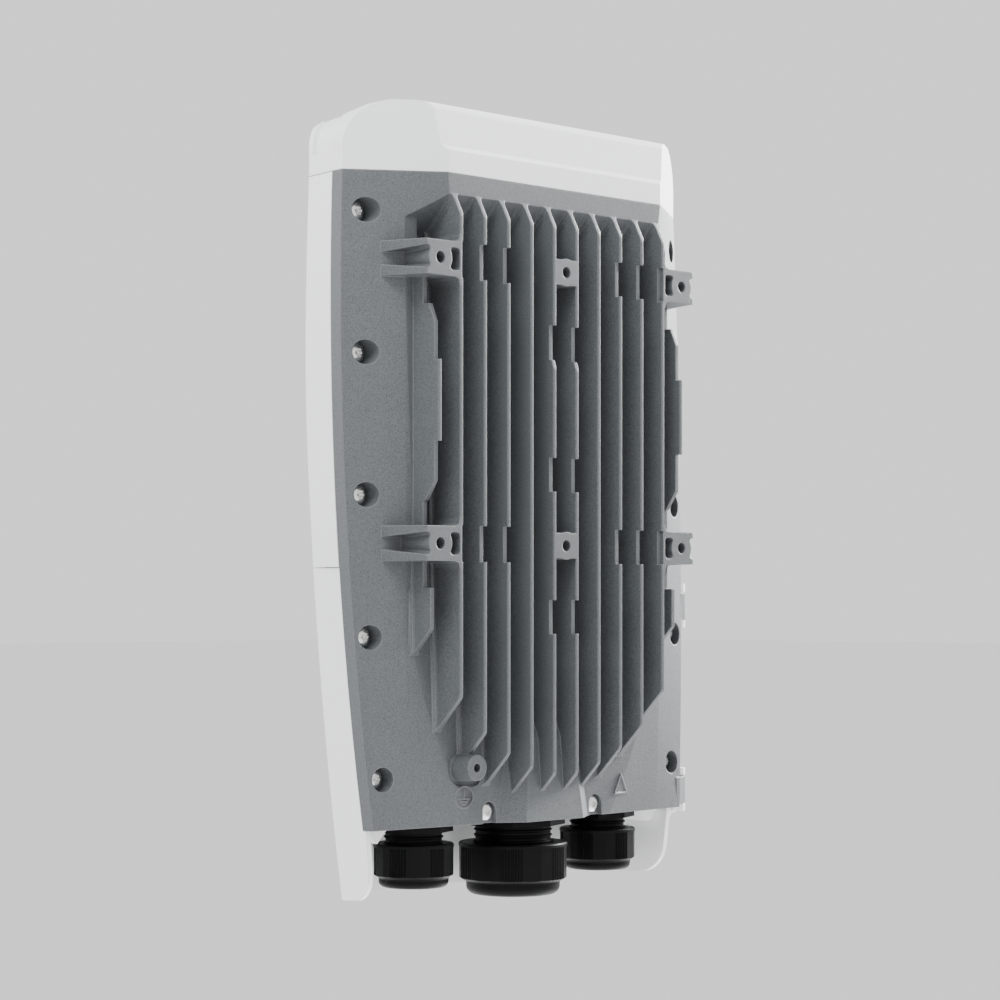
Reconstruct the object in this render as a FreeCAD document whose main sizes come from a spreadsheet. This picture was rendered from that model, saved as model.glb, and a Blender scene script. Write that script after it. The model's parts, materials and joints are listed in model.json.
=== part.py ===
import FreeCAD, Part
import math
import os
import re
from types import SimpleNamespace
from FreeCAD import Placement, Rotation, Vector

# Wall-mounted string inverter. Origin: centre of the rectangle of four wall-bracket lugs, in the plane of the
# fin tips. +Y points at the wall, -Y at the user, +Z up. All sizes in millimetres.

SIZES = {
    # casting, seen from behind
    "lug_column": 82.7, "lug_row": 65.0, "lug_hole": 5.5, "lug_height": 16.0, "lug_boss": 14.4,
    "lug_web": 6.1, "lug_depth": 14.0,
    "fin_pitch": 15.37, "fin_tip": 2.0, "fin_root": 2.9, "fin_foot": 24.0, "fin_fillet": 2.0,
    "notch_depth": 3.0, "notch_height": 16.6,
    "casting_top": 105.25, "casting_bottom": 196.0, "shoulder_half": 72.8, "shoulder_depth": 5.4,
    "rim_half": 115.6, "rim_curve": 0.000246, "widest_height": 10.0, "rim_depth": 30.4, "rim_lean": 0.03082,
    "rim_bow": 0.0000871, "strip_depth": 7.7, "strip_draft": 0.8, "front_draft": 4.2, "front_depth": 60.7,
    "front_lean": 0.0395, "floor_depth": 22.3, "floor_lean": 0.0243, "ledge_depth": 17.0, "ledge_half": 89.3,
    "field_half": 81.7, "end_wall_height": 101.4, "lip_inset": 4.6, "lip_depth": 6.0, "tray_inset": 15.0,
    "tray_front": 55.0, "tray_wall": 3.0, "cavity_back": 26.0, "cavity_top": 101.0, "cavity_bottom": 192.5,
    # screws
    "flank_hole": 11.4, "flank_head": 8.6, "flank_head_height": 3.1, "flank_shank": 3.4, "flank_step": 65.0,
    "flank_top": 87.1, "small_head": 8.2, "small_column": 36.4, "small_row": 190.6,
    "earth_column": 53.8, "earth_row": 168.7, "earth_boss": 12.0, "earth_hole": 4.3,
    # plastic covers
    "cover_wall": 2.0, "cover_gap": 0.3, "bevel_run": 15.0, "bevel_depth": 66.0, "crown_depth": 71.0,
    "parting": 76.0, "skirt_bottom": 230.0, "skirt_back": 26.4, "skirt_round": 14.0,
    "hood_top": 138.0, "hood_step": 117.5, "hood_round": 22.0, "hood_pocket": 1.2,
    # door hinge and latch
    "hinge_x": 115.3, "hinge_y": 31.0, "knuckle": 7.0, "pin": 3.0, "pin_bore": 3.1,
    "latch_x": 60.0, "latch_z": 150.0, "knob": 18.0, "latch_shaft": 6.0, "latch_bore": 6.4,
    # lid and seals
    "gasket": 0.8, "lid_plate": 2.5, "pan_rise": 5.0, "lid_head": 4.0, "lid_head_height": 1.2,
    # cable glands
    "flange": 2.4, "vent_column": 35.2, "vent_depth": 45.0, "thread_pitch": 2.7,
    "centre_depth": 36.1, "centre_entry": 32.0, "centre_thread": 38.0, "centre_nut": 52.8,
    "centre_bore": 24.0, "side_column": 63.1, "side_depth": 39.1, "side_entry": 25.0, "side_thread": 28.0,
    "side_nut": 38.0, "side_bore": 15.0,
    # electronics
    "board_half": 84.0, "board_top": 94.0, "board_bottom": 150.0, "board_back": 34.0, "board_thickness": 1.6,
}

doc = FreeCAD.newDocument("string_inverter")
sheet = doc.addObject("Spreadsheet::Sheet", "Sizes")
for row, (alias, value) in enumerate(SIZES.items(), start=1):
    sheet.set(f"A{row}", alias)
    sheet.set(f"B{row}", str(value))
    sheet.setAlias(f"B{row}", alias)
doc.recompute()
S = SimpleNamespace(**{alias: float(sheet.get(alias)) for alias in SIZES})
pieces = {}

# sides as a user facing the front names them
SIDES = (("right", 1), ("left", -1))


# ------------------------------------------------------------------ helpers

def bind(obj, prop, value):
    """Give a property a number, or bind it to an expression of the sheet's words."""
    if isinstance(value, str):
        words = re.sub(r"[a-z_]+", lambda m: f"Sizes.{m[0]}" if m[0] in SIZES else m[0], value)
        obj.setExpression(prop, words)
    else:
        setattr(obj, prop, value)


def place(obj, at, turn=Rotation()):
    """Place an object; a coordinate may be a number or an expression."""
    fixed = [0.0 if isinstance(value, str) else value for value in at]
    obj.Placement = Placement(Vector(*fixed), turn)
    for axis, value in zip("xyz", at):
        if isinstance(value, str):
            bind(obj, f"Placement.Base.{axis}", value)


TURN = {"X": Rotation(Vector(0, 0, 1), Vector(1, 0, 0)), "Y": Rotation(Vector(0, 0, 1), Vector(0, 1, 0)),
        "Z": Rotation()}


def box(name, size, at):
    made = doc.addObject("Part::Box", name)
    for prop, value in zip(("Length", "Width", "Height"), size):
        bind(made, prop, value)
    place(made, at)
    return made


def span_box(name, x, y, z):
    """A box between two values on each axis."""
    return box(name, (x[1] - x[0], y[1] - y[0], z[1] - z[0]), (x[0], y[0], z[0]))


def cylinder(name, radius, height, at, axis="Z"):
    made = doc.addObject("Part::Cylinder", name)
    bind(made, "Radius", radius)
    bind(made, "Height", height)
    place(made, at, TURN[axis])
    return made


def cone(name, radii, height, at, axis="Z"):
    made = doc.addObject("Part::Cone", name)
    bind(made, "Radius1", radii[0])
    bind(made, "Radius2", radii[1])
    bind(made, "Height", height)
    place(made, at, TURN[axis])
    return made


def fuse(name, parts):
    parts = list(parts)
    if len(parts) == 1:
        return parts[0]
    made = doc.addObject("Part::MultiFuse", name)
    made.Shapes = parts
    return made


def cut(name, base, tools):
    made = doc.addObject("Part::Cut", name)
    made.Base = base
    made.Tool = fuse(f"{name}_tools", tools)
    return made


def common(name, parts):
    made = doc.addObject("Part::MultiCommon", name)
    made.Shapes = list(parts)
    return made


def group(name, parts):
    """Separate solids of one node."""
    made = doc.addObject("Part::Compound", name)
    made.Links = list(parts)
    return made


def outline_edges(points):
    """Edges of a closed outline. A point is (u, v), (u, v, radius) for a round corner."""
    plane = [Vector(p[0], p[1], 0) for p in points]
    corners = []
    for index, corner in enumerate(points):
        here, before, after = plane[index], plane[index - 1], plane[(index + 1) % len(plane)]
        radius = corner[2] if len(corner) > 2 else 0
        if not radius:
            corners.append((here, here, here))
            continue
        back, on = (before - here).normalize(), (after - here).normalize()
        half = back.getAngle(on) / 2
        reach = radius / math.tan(half)
        middle = here + (back + on).normalize() * (radius / math.sin(half) - radius)
        corners.append((here + back * reach, middle, here + on * reach))
    edges = []
    for index, (start, middle, end) in enumerate(corners):
        if not start.isEqual(end, 1e-6):
            edges.append(Part.Arc(start, middle, end))
        following = corners[(index + 1) % len(corners)][0]
        if not end.isEqual(following, 1e-6):
            edges.append(Part.LineSegment(end, following))
    return edges


FRAMES = {"Z": Rotation(), "X": Rotation(Vector(0, 1, 0), Vector(0, 0, 1), Vector(1, 0, 0), "ZXY"),
          "Y": Rotation(Vector(1, 0, 0), Vector(0, 0, 1), Vector(0, -1, 0), "ZXY")}
ALONG = {"X": Vector(1, 0, 0), "Y": Vector(0, 1, 0), "Z": Vector(0, 0, 1)}


def sketch(name, edges, axis, station):
    """A sketch across an axis: (x, y) for Z, (y, z) for X and (x, z) for Y."""
    made = doc.addObject("Sketcher::SketchObject", name)
    made.Placement = Placement(ALONG[axis] * station, FRAMES[axis])
    made.addGeometry(edges)
    return made


def sweep(name, outline, direction, length):
    """A sketch swept straight along a direction."""
    made = doc.addObject("Part::Extrusion", name)
    made.Base = outline
    made.DirMode = "Custom"
    made.Dir = direction
    made.Solid = True
    bind(made, "LengthFwd", length)
    return made


def prism(name, points, axis, start, length):
    """A closed outline swept straight along an axis, from start."""
    return sweep(name, sketch(f"{name}_outline", outline_edges(points), axis, start), ALONG[axis], length)


def loft(name, sections, ruled=False, axis="Z"):
    """A solid through closed outlines along an axis: sections is [(station, edges), ...]."""
    made = doc.addObject("Part::Loft", name)
    made.Sections = [sketch(f"{name}_{index}", edges, axis, station)
                     for index, (station, edges) in enumerate(sections)]
    made.Solid = True
    made.Ruled = ruled
    return made


def turned(name, points, at, axis="Z"):
    """A ring or disc turned about an axis: points are (radius, height)."""
    made = doc.addObject("Part::Revolution", name)
    made.Source = sketch(f"{name}_outline", outline_edges(points), "Y", 0)
    made.Axis = Vector(0, 0, 1)
    made.Base = Vector(0, 0, 0)
    made.Angle = 360
    made.Solid = True
    place(made, at, TURN[axis])
    return made


def keep(label, obj):
    """Name a finished sub-part."""
    obj.Label = label
    pieces[label] = obj
    return obj


def both_sides(points):
    """Complete an outline given for +X, from front to back, with its mirror image."""
    return list(points) + [(-p[0], *p[1:]) for p in reversed(points)]


# ------------------------------------------------------------------ governing curves of the enclosure

def rim_x(z):
    return S.rim_half - S.rim_curve * (z - S.widest_height) ** 2


def rim_y(z):
    above = z + 2.0
    return -S.rim_depth - S.rim_lean * above + S.rim_bow * above ** 2


def strip_y(z):
    return rim_y(z) - S.strip_depth


def strip_x(z):
    return rim_x(z) - S.strip_draft


def front_x(z):
    return rim_x(z) - S.front_draft


def front_y(z):
    return -S.front_depth + S.front_lean * max(0.0, S.widest_height - z)


def floor_y(z):
    return -S.floor_depth + S.floor_lean * (96.0 - z)


def fold(z):
    drop = S.casting_top - z
    return (S.ledge_half - 0.011 * drop, -16.5 - 0.0093 * drop)


def apex(z):
    share = (S.casting_top - z) / (S.casting_top + S.casting_bottom)
    return (S.shoulder_half - 30.8 * share, -S.shoulder_depth - 9.5 * share)


def heights(low, high, count):
    return [low + (high - low) * index / (count - 1) for index in range(count)]


# ------------------------------------------------------------------ die-cast rear housing

FIN_TOP = 85.7
FIN_ENDS = (135.3, 152.0, 162.3, 169.0, 173.0)
FIELD_END = 205.0
half_notch = S.notch_height / 2


def casting_section(z):
    corners = [(strip_x(z), strip_y(z)), (rim_x(z), rim_y(z)), fold(z), apex(z)]
    return outline_edges(both_sides(corners))


def fin_outline(end, steps):
    """A fin's side outline (y, z), from its top chamfer down; steps are extra (y, z) points of its tip."""
    tip = [(-S.shoulder_depth, 96.0), (0, FIN_TOP, 6.0), *steps, (0, -end, 5.0),
           (-S.fin_foot, -end - S.fin_foot)]
    return tip + [(-S.fin_foot, 79.0)]


def notch(centre, half, chamfer=0.0):
    deep = -S.notch_depth
    points = [(0, centre + half), (deep, centre + half), (deep, centre - half)]
    if chamfer:
        return points + [(deep / 2, centre - half - 0.5), (0, centre - half - chamfer)]
    return points + [(0, centre - half)]


def fin_blade(name, x, outline):
    """A fin: its side outline, thinned towards a blunt tip and splayed where it meets the floor."""
    root, tip, splay, blunt = S.fin_root / 2 - 0.15, S.fin_tip / 2, 1.5, 0.45

    def ring(z):
        floor = floor_y(z)
        half = [(root + splay, floor - 1.0), (root + splay, floor), (root + 0.3 * splay, floor + 0.3 * splay),
                (root, floor + splay), (tip, -blunt), (tip - blunt, 0)]
        return outline_edges([(x + u, v) for u, v in both_sides(half)])

    wedge = loft(f"{name}_wedge", [(-FIELD_END, ring(-FIELD_END)), (100.0, ring(100.0))], ruled=True)
    side = prism(f"{name}_side", outline, "X", x - root - 2 * splay, 2 * (root + 2 * splay))
    return common(name, [wedge, side])


def make_fin_fillets(columns):
    """Rounded corners at the tops of the channels, along the sloping wall where the fins end."""
    root, fillet = S.fin_root / 2 - 0.15, S.fin_fillet
    away, along = Vector(0, 1, -1).normalize(), Vector(0, 1, 1).normalize()
    deep = Vector(0, -S.fin_foot, S.end_wall_height - S.fin_foot)
    outline = doc.addObject("Sketcher::SketchObject", "fin_fillet_outline")
    outline.Placement = Placement(deep, Rotation(Vector(1, 0, 0), away, along, "ZXY"))
    for x in columns:
        near, far, bend = root, root + fillet, root + fillet * (1 - math.sqrt(0.5))
        spots = [Vector(x + u, v, 0) for u, v in ((-far, 0), (-far, -1), (far, -1), (far, 0), (near, fillet),
                                                 (-near, fillet))]
        rise = fillet * (1 - math.sqrt(0.5))
        outline.addGeometry([Part.LineSegment(a, b) for a, b in zip(spots[:3], spots[1:4])])
        outline.addGeometry([Part.Arc(spots[3], Vector(x + bend, rise, 0), spots[4]),
                             Part.LineSegment(spots[4], spots[5]),
                             Part.Arc(spots[5], Vector(x - bend, rise, 0), spots[0])])
    ribs = sweep("fin_fillet_ribs", outline, along, "fin_foot * 1.42")
    side = [(-S.shoulder_depth, 96.0), (0, FIN_TOP), (-S.fin_foot, FIN_TOP - S.fin_foot), (-S.fin_foot, 79.0)]
    return common("fin_fillets", [ribs, prism("fin_fillet_limit", side, "X", -100.0, 200.0)])


def make_fins():
    fins = []
    lug_notches = notch(S.lug_row, half_notch) + notch(-S.lug_row, half_notch)
    centre_notches = notch(31.4, 8.0, 5.0) + notch(-31.4, 8.0) + notch(-98.9, 8.0)
    for index in range(5):
        column = (index + 0.5) * S.fin_pitch
        end = FIN_ENDS[4 - index]
        if index == 0:
            steps = centre_notches
        elif index == 1:
            steps = []
        else:
            steps = lug_notches
        for side, sign in SIDES:
            fins.append(fin_blade(f"fin_{side}_{index}", sign * column, fin_outline(end, steps)))
    columns = [sign * (index + 0.5) * S.fin_pitch for index in range(5) for _, sign in SIDES]
    fins.append(make_fin_fillets(columns))
    short = [(-10.5, 60.0), (-10.5, 44.5), (-6.6, 44.5), (-3.0, 36.0), (-3.0, 18.7), (0, 18.7), (0, -18.4),
             (-3.0, -18.4), (-3.0, -36.4), (-9.0, -45.0), (-10.5, -46.0), (-10.5, -85.3), (-5.6, -85.3),
             (-5.6, -104.0), (-18.0, -116.4), (-S.fin_foot, -116.4), (-S.fin_foot, 60.0)]
    for side, sign in SIDES:
        fins.append(fin_blade(f"short_fin_{side}", sign * S.lug_column, short))
    return fins


def make_field_tools():
    """What is cast away between the shoulder and the bottom edge, where the fins stand."""
    reach = 6.0
    deep_z = (S.end_wall_height - S.floor_depth - 0.0243 * 96) / (1 + S.floor_lean) + 2.2
    end = [(reach, S.end_wall_height + reach), (deep_z - S.end_wall_height, deep_z, 6.0),
           (floor_y(-FIELD_END), -FIELD_END), (reach, -FIELD_END)]
    field = prism("field", end, "X", -S.field_half, "field_half * 2")

    strips = []
    ledge = [(reach, S.end_wall_height + reach), (-S.ledge_depth, S.end_wall_height - S.ledge_depth, 2.0),
             (-S.ledge_depth, -FIELD_END), (reach, -FIELD_END)]
    for side, start in (("right", S.field_half), ("left", -S.ledge_half)):
        strips.append(prism(f"ledge_{side}", ledge, "X", start, "ledge_half - field_half"))
    near, far, low, high = S.earth_column - 12.6, S.earth_column + 8.9, -S.earth_row - 9.3, -155.0
    scoop = common("earth_scoop", [
        prism("scoop_plan", [(near, low, 5.0), (far, low, 9.0), (far, high), (near, high)], "Y", -20.0, 25.0),
        prism("scoop_side", [(5.0, low - 1), (-17.8, low - 1), (-16.2, high), (5.0, high)],
              "X", near - 1, 24.0)])
    return [field, scoop] + strips


def make_bulge():
    """The raised middle of the bottom edge, which ramps up out of the fin floor above the centre gland."""
    base, slope = -30.0, 0.69

    def ring(z, half):
        top = -7.4 - 0.0718 * (z + S.casting_bottom)
        spread = half + (top - base) / slope
        return outline_edges([(-spread, base), (-half, top), (half, top), (spread, base)])

    body = loft("bulge_body", [(z, ring(z, half)) for z, half in ((-S.casting_bottom, 19.5), (-175.0, 17.2),
                                                                  (-110.0, 7.0))], ruled=True)
    side = [(base, -S.casting_bottom), (0, -S.casting_bottom), (0, -183.8), (base, -104.9)]
    ramp = prism("bulge_ramp", side, "X", -80.0, 160.0)
    return common("bulge", [body, ramp])


def make_side_lug(name, sign, z):
    """Bracket lug: two arms running out from the first fin, a web with its boss, and a pocket each side."""
    half = S.lug_height / 2
    fin = 4.5 * S.fin_pitch
    arms = prism(f"{name}_arms", [(sign * fin, -S.fin_foot), (sign * fin, 0), (sign * 91.6, 0, 1.0),
                                  (sign * 99.3, -S.fin_foot)], "Z", z - half, "lug_height")
    fillets = []
    for step in (1, -1):
        corner = [(sign * fin, z + step * half), (sign * (fin + 4.5), z + step * half),
                  (sign * (fin + 1.9), z + step * (half + 0.9)),
                  (sign * (fin + 1.0), z + step * (half + 4.0))]
        fillets.append(prism(f"{name}_fillet_{step + 1}", corner, "Y", -S.fin_foot, "fin_foot"))
    mouth, root = half - 2.7, half - 5.2
    pockets = []
    for where, near, far in (("inner", fin + 1.2, S.lug_column - S.lug_web),
                             ("outer", S.lug_column + S.lug_web, 104.0)):
        rings = []
        for reach, y in ((mouth, 1.0), (root, -S.fin_foot + 0.5)):
            ring = [(sign * near, z - reach, 2.0), (sign * far, z - reach, 2.0), (sign * far, z + reach, 2.0),
                    (sign * near, z + reach, 2.0)]
            rings.append((y, outline_edges(ring)))
        pockets.append(loft(f"{name}_{where}", rings, ruled=True, axis="Y"))
    boss = cylinder(f"{name}_boss", "lug_boss / 2", "fin_foot", (sign * S.lug_column, -S.fin_foot, z), "Y")
    hollow = cut(f"{name}_hollow", fuse(f"{name}_pockets", pockets), [boss])
    return cut(name, fuse(f"{name}_arms_filled", [arms, *fillets]), [hollow])


def make_centre_lug(name, z):
    web = span_box(f"{name}_web", (-7.7, 7.7), (-S.fin_foot, 0), (z - 6.0, z + 6.0))
    boss = cylinder(f"{name}_boss", 6.6, "fin_foot", (0, -S.fin_foot, z), "Y")
    return fuse(name, [web, boss])


def lug_bore(name, x, z):
    return cylinder(f"{name}_bore", "lug_hole / 2", "lug_depth + 1", (x, -S.lug_depth, z), "Y")


def flank_places():
    """Centres and head seats of the flank screws, from the top down."""
    columns = (104.4, 105.1, 105.3, 104.3, 98.9)
    seats = (-34.8, -33.9, -32.4, -30.7, -28.6)
    levels = [S.flank_top - index * S.flank_step for index in range(len(columns))]
    return list(zip(columns, seats, levels))


def make_symbols():
    """Earth symbol beside its boss and a plain triangle on the other side, raised off the sloping face."""
    x, z, start, reach = 53.0, -182.7, -22.0, 14.0
    ring = cut("earth_ring", cylinder("earth_disc", 5.35, reach, (x, start, z), "Y"),
               [cylinder("earth_inside", 4.8, reach + 2, (x, start - 1, z), "Y")])
    marks = [ring, span_box("earth_stem", (x - 0.3, x + 0.3), (start, start + reach), (z - 0.9, z + 3.4))]
    for step, half in enumerate((3.4, 2.2, 1.2)):
        level = z - 0.9 - 1.25 * step
        marks.append(span_box(f"earth_bar_{step}", (x - half, x + half), (start, start + reach),
                              (level - 0.3, level + 0.3)))
    centre, low, high = -55.0, -186.6, -175.8
    outer = prism("triangle_outer", [(centre - 5.6, low, 0.4), (centre + 5.6, low, 0.4), (centre, high, 0.4)],
                  "Y", start, reach)
    inside = [(centre - 4.2, low + 0.85), (centre + 4.2, low + 0.85), (centre, high - 1.9)]
    inner = prism("triangle_inner", inside,
                  "Y", start - 1, reach + 2)
    marks.append(cut("triangle", outer, [inner]))

    def skin(level):
        corners = [fold(level), apex(level)]
        outside = [(u, v + 0.4) for u, v in corners]
        under = [(u, v - 1.0) for u, v in reversed(corners)]
        return outside + under

    layers = []
    for side, sign in SIDES:
        rings = [(level, outline_edges([(sign * u, v) for u, v in skin(level)]))
                 for level in (-190.0, -172.0)]
        layers.append(loft(f"symbol_skin_{side}", rings, ruled=True))
    return common("symbols", [fuse("symbol_marks", marks), fuse("symbol_skin", layers)])


def make_gland_bays():
    """Room in the cavity's back wall for the locknuts; the bulge outside makes room for the middle one."""
    bays = []
    for name, low, high, back in (("centre", -22.5, 22.5, -17.0), ("right", 46.0, 81.0, -24.0),
                                  ("left", -81.0, -46.0, -24.0)):
        slope = [(back - 12.0, -S.cavity_bottom), (back, -S.cavity_bottom), (back, -178.0),
                 (back - 12.0, -166.0)]
        bays.append(prism(f"bay_{name}", slope, "X", low, high - low))
    return bays


def lid_screw_places():
    """Centres of the lid screws, along the middle of the tray's wall."""
    inset = S.tray_inset + S.tray_wall / 2 + 0.2
    return [(sign * (rim_x(z) - inset), z) for z in (-186.0, -120.0, -54.0, 12.0, 78.0) for sign in (1, -1)]


def door_knuckle_spans():
    """Heights of the door's hinge knuckles, above and below each knuckle of the casting."""
    return (("upper", -86.6, -82.5), ("upper_foot", -104.9, -101.3),
            ("lower", -180.5, -176.9), ("lower_foot", -199.0, -195.2))


def make_housing():
    envelope = loft("envelope", [(z, casting_section(z))
                                 for z in heights(-S.casting_bottom, S.casting_top, 8)])
    shaped = cut("shaped", envelope, make_field_tools())

    def block(inset, back, front):
        def ring(z):
            half = rim_x(z) - inset
            return outline_edges([(-half, front(z)), (half, front(z)), (half, back(z)), (-half, back(z))])
        return ring

    lip = block(S.strip_draft + S.lip_inset, lambda z: rim_y(z) - 4.0, lambda z: strip_y(z) - S.lip_depth)
    tray = block(S.tray_inset, lambda z: rim_y(z) - 2.0, lambda z: -S.tray_front)
    inside = block(S.tray_inset + S.tray_wall, lambda z: -S.cavity_back - 3.0, lambda z: -S.tray_front - 5.0)
    deep = block(S.tray_inset + 14.0, lambda z: -S.cavity_back, lambda z: -S.tray_front)
    low, high = -S.casting_bottom, S.casting_top - 1.5
    solid = [shaped, loft("lip", [(z, lip(z)) for z in heights(low, high, 5)]),
             loft("tray", [(z, tray(z)) for z in heights(low, high, 5)])]
    hollow = [loft("inside", [(z, inside(z)) for z in heights(-S.cavity_bottom, S.cavity_top, 5)]),
              loft("deep", [(z, deep(z)) for z in heights(-S.cavity_bottom, S.cavity_top, 5)])]
    solid += [make_bulge(), *make_fins()]
    for side, sign in SIDES:
        for level, z in (("upper", S.lug_row), ("lower", -S.lug_row)):
            solid.append(make_side_lug(f"lug_{side}_{level}", sign, z))
            hollow.append(lug_bore(f"lug_{side}_{level}", sign * S.lug_column, z))
    for level, z in (("upper", S.lug_row), ("lower", -S.lug_row)):
        solid.append(make_centre_lug(f"centre_lug_{level}", z))
        hollow.append(lug_bore(f"centre_lug_{level}", 0, z))
    solid.append(cone("earth_boss", (6.6, "earth_boss / 2"), 14.3,
                      ("earth_column", -20.0, "-earth_row"), "Y"))
    hollow.append(cylinder("earth_bore", "earth_hole / 2", 12.0, ("earth_column", -15.7, "-earth_row"), "Y"))
    solid.append(make_symbols())
    for x, seat, z in flank_places():
        for sign in (1, -1):
            name = f"flank_{'right' if sign > 0 else 'left'}_{round(S.flank_top - z)}"
            hollow.append(cylinder(name, "flank_hole / 2", 30.0, (sign * x, seat, z), "Y"))
            hollow.append(cylinder(f"{name}_shank", 1.85, 30.0, (sign * x, seat - 20.0, z), "Y"))
    for sign in (1, -1):
        name = f"small_{'right' if sign > 0 else 'left'}"
        slot = [(sign * S.small_column - 4.4, -S.casting_bottom - 1), (sign * S.small_column + 4.4, -197.0),
                (sign * S.small_column + 4.4, -185.8, 4.3), (sign * S.small_column - 4.4, -185.8, 4.3)]
        hollow.append(prism(f"{name}_recess", slot, "Y", -19.0, 25.0))
        hollow.append(cylinder(f"{name}_hole", 1.65, 8.0, (sign * S.small_column, -25.4, -S.small_row), "Y"))
    hollow.append(cylinder("centre_entry", "centre_entry / 2 + 0.25", 10.0, (0, "-centre_depth", -200.0)))
    for sign in (1, -1):
        hollow.append(cylinder(f"side_entry_{sign + 1}", "side_entry / 2 + 0.25", 10.0,
                               (sign * S.side_column, -S.side_depth, -200.0)))
    hollow.append(cylinder("vent_entry", 6.1, 10.0, ("-vent_column", "-vent_depth", -200.0)))
    hollow += make_gland_bays()
    for index, (x, z) in enumerate(lid_screw_places()):
        hollow.append(cylinder(f"lid_tap_{index}", 1.15, 9.0, (x, -S.tray_front - 1.0, z), "Y"))
    knuckles, bores = [], []
    for level, low, high in (("upper", -100.8, -87.1), ("lower", -194.7, -181.0)):
        middle = (low + high) / 2
        rim = (-rim_x(middle), rim_y(middle))
        edge = strip_y(middle) + 0.2
        web = [(rim[0] + 3.0, rim[1] + 0.5), (rim[0], rim[1] + 0.05), (-S.hinge_x - 1.6, -S.hinge_y + 3.1),
               (-S.hinge_x, -S.hinge_y), (-S.hinge_x + 1.0, -S.hinge_y - 3.2), (rim[0] - 1.2, edge),
               (rim[0] + 3.0, edge)]
        knuckles.append(prism(f"hinge_web_{level}", web, "Z", low, high - low))
        knuckles.append(cylinder(f"hinge_barrel_{level}", "knuckle / 2", high - low,
                                 ("-hinge_x", "-hinge_y", low)))
        bores.append(cylinder(f"hinge_bore_{level}", "pin_bore / 2", high - low + 2,
                              ("-hinge_x", "-hinge_y", low - 1)))
    for level, low, high in door_knuckle_spans():
        bores.append(cylinder(f"knuckle_room_{level}", "knuckle / 2 + 0.5", high - low + 0.8,
                              ("-hinge_x", "-hinge_y", low - 0.4)))
    return keep("rear_housing", cut("housing", fuse("housing_solid", solid + knuckles), hollow + bores))


# ------------------------------------------------------------------ white covers

def cover_section(z, inset=0.0, back=None):
    """Outside of the covers at a height: side walls, bevels and a crowned front; inset makes the inside."""
    side = strip_x(z) - inset
    rear = strip_y(z) - S.cover_gap if back is None else back
    edge = (front_x(z) - inset, front_y(z) + 0.4 * inset)
    bevel = (front_x(z) - S.bevel_run - 0.4 * inset, -S.bevel_depth + inset)
    crown = Vector(0, -S.crown_depth + inset, 0)
    low = [Vector(side, rear, 0), Vector(*edge, 0), Vector(*bevel, 0)]
    high = [Vector(-v.x, v.y, 0) for v in reversed(low)]
    edges = [Part.LineSegment(a, b) for a, b in zip(low, low[1:])]
    edges.append(Part.Arc(low[-1], crown, high[0]))
    edges += [Part.LineSegment(a, b) for a, b in zip(high, high[1:])]
    return edges + [Part.LineSegment(high[-1], low[0])]


def cover_shell(name, low, high, back):
    """A shell between two heights, open at the back and at both ends."""
    outside = loft(f"{name}_outside", [(z, cover_section(z, 0.0, back)) for z in heights(low, high, 6)])
    open_back = None if back is None else back + 6.0
    levels = heights(low - 1.0, high + 1.0, 6)
    inner_back = [strip_y(z) + 6.0 if open_back is None else open_back for z in levels]
    inside = loft(f"{name}_inside",
                  [(z, cover_section(z, S.cover_wall, rear)) for z, rear in zip(levels, inner_back)])
    return outside, inside


def make_front_cover():
    low, high = -S.parting + S.cover_gap / 2, S.casting_top - S.cover_gap / 2
    outside, inside = cover_shell("front_cover", low, high, None)
    shell = [outside]
    hollow = [inside, cylinder("light_window", 3.1, 20.0, (0, -75.0, 40.0), "Y")]
    return keep("front_cover", cut("front_cover_shell", fuse("front_cover_solid", shell), hollow))


def door_web(name, low, high):
    """Web that carries an outer hinge knuckle from the door's side wall."""
    z = (low + high) / 2
    x, y = -strip_x(z), strip_y(z) - S.cover_gap
    points = [(x + 1.5, y), (x - 0.9, y), (-S.hinge_x + 1.9, -S.hinge_y - 2.6), (-S.hinge_x, -S.hinge_y),
              (-S.hinge_x - 3.3, -S.hinge_y - 1.0), (x - 0.2, y - 12.0), (x + 2.4, y - 12.0)]
    return prism(name, points, "Z", low, high - low)


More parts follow.
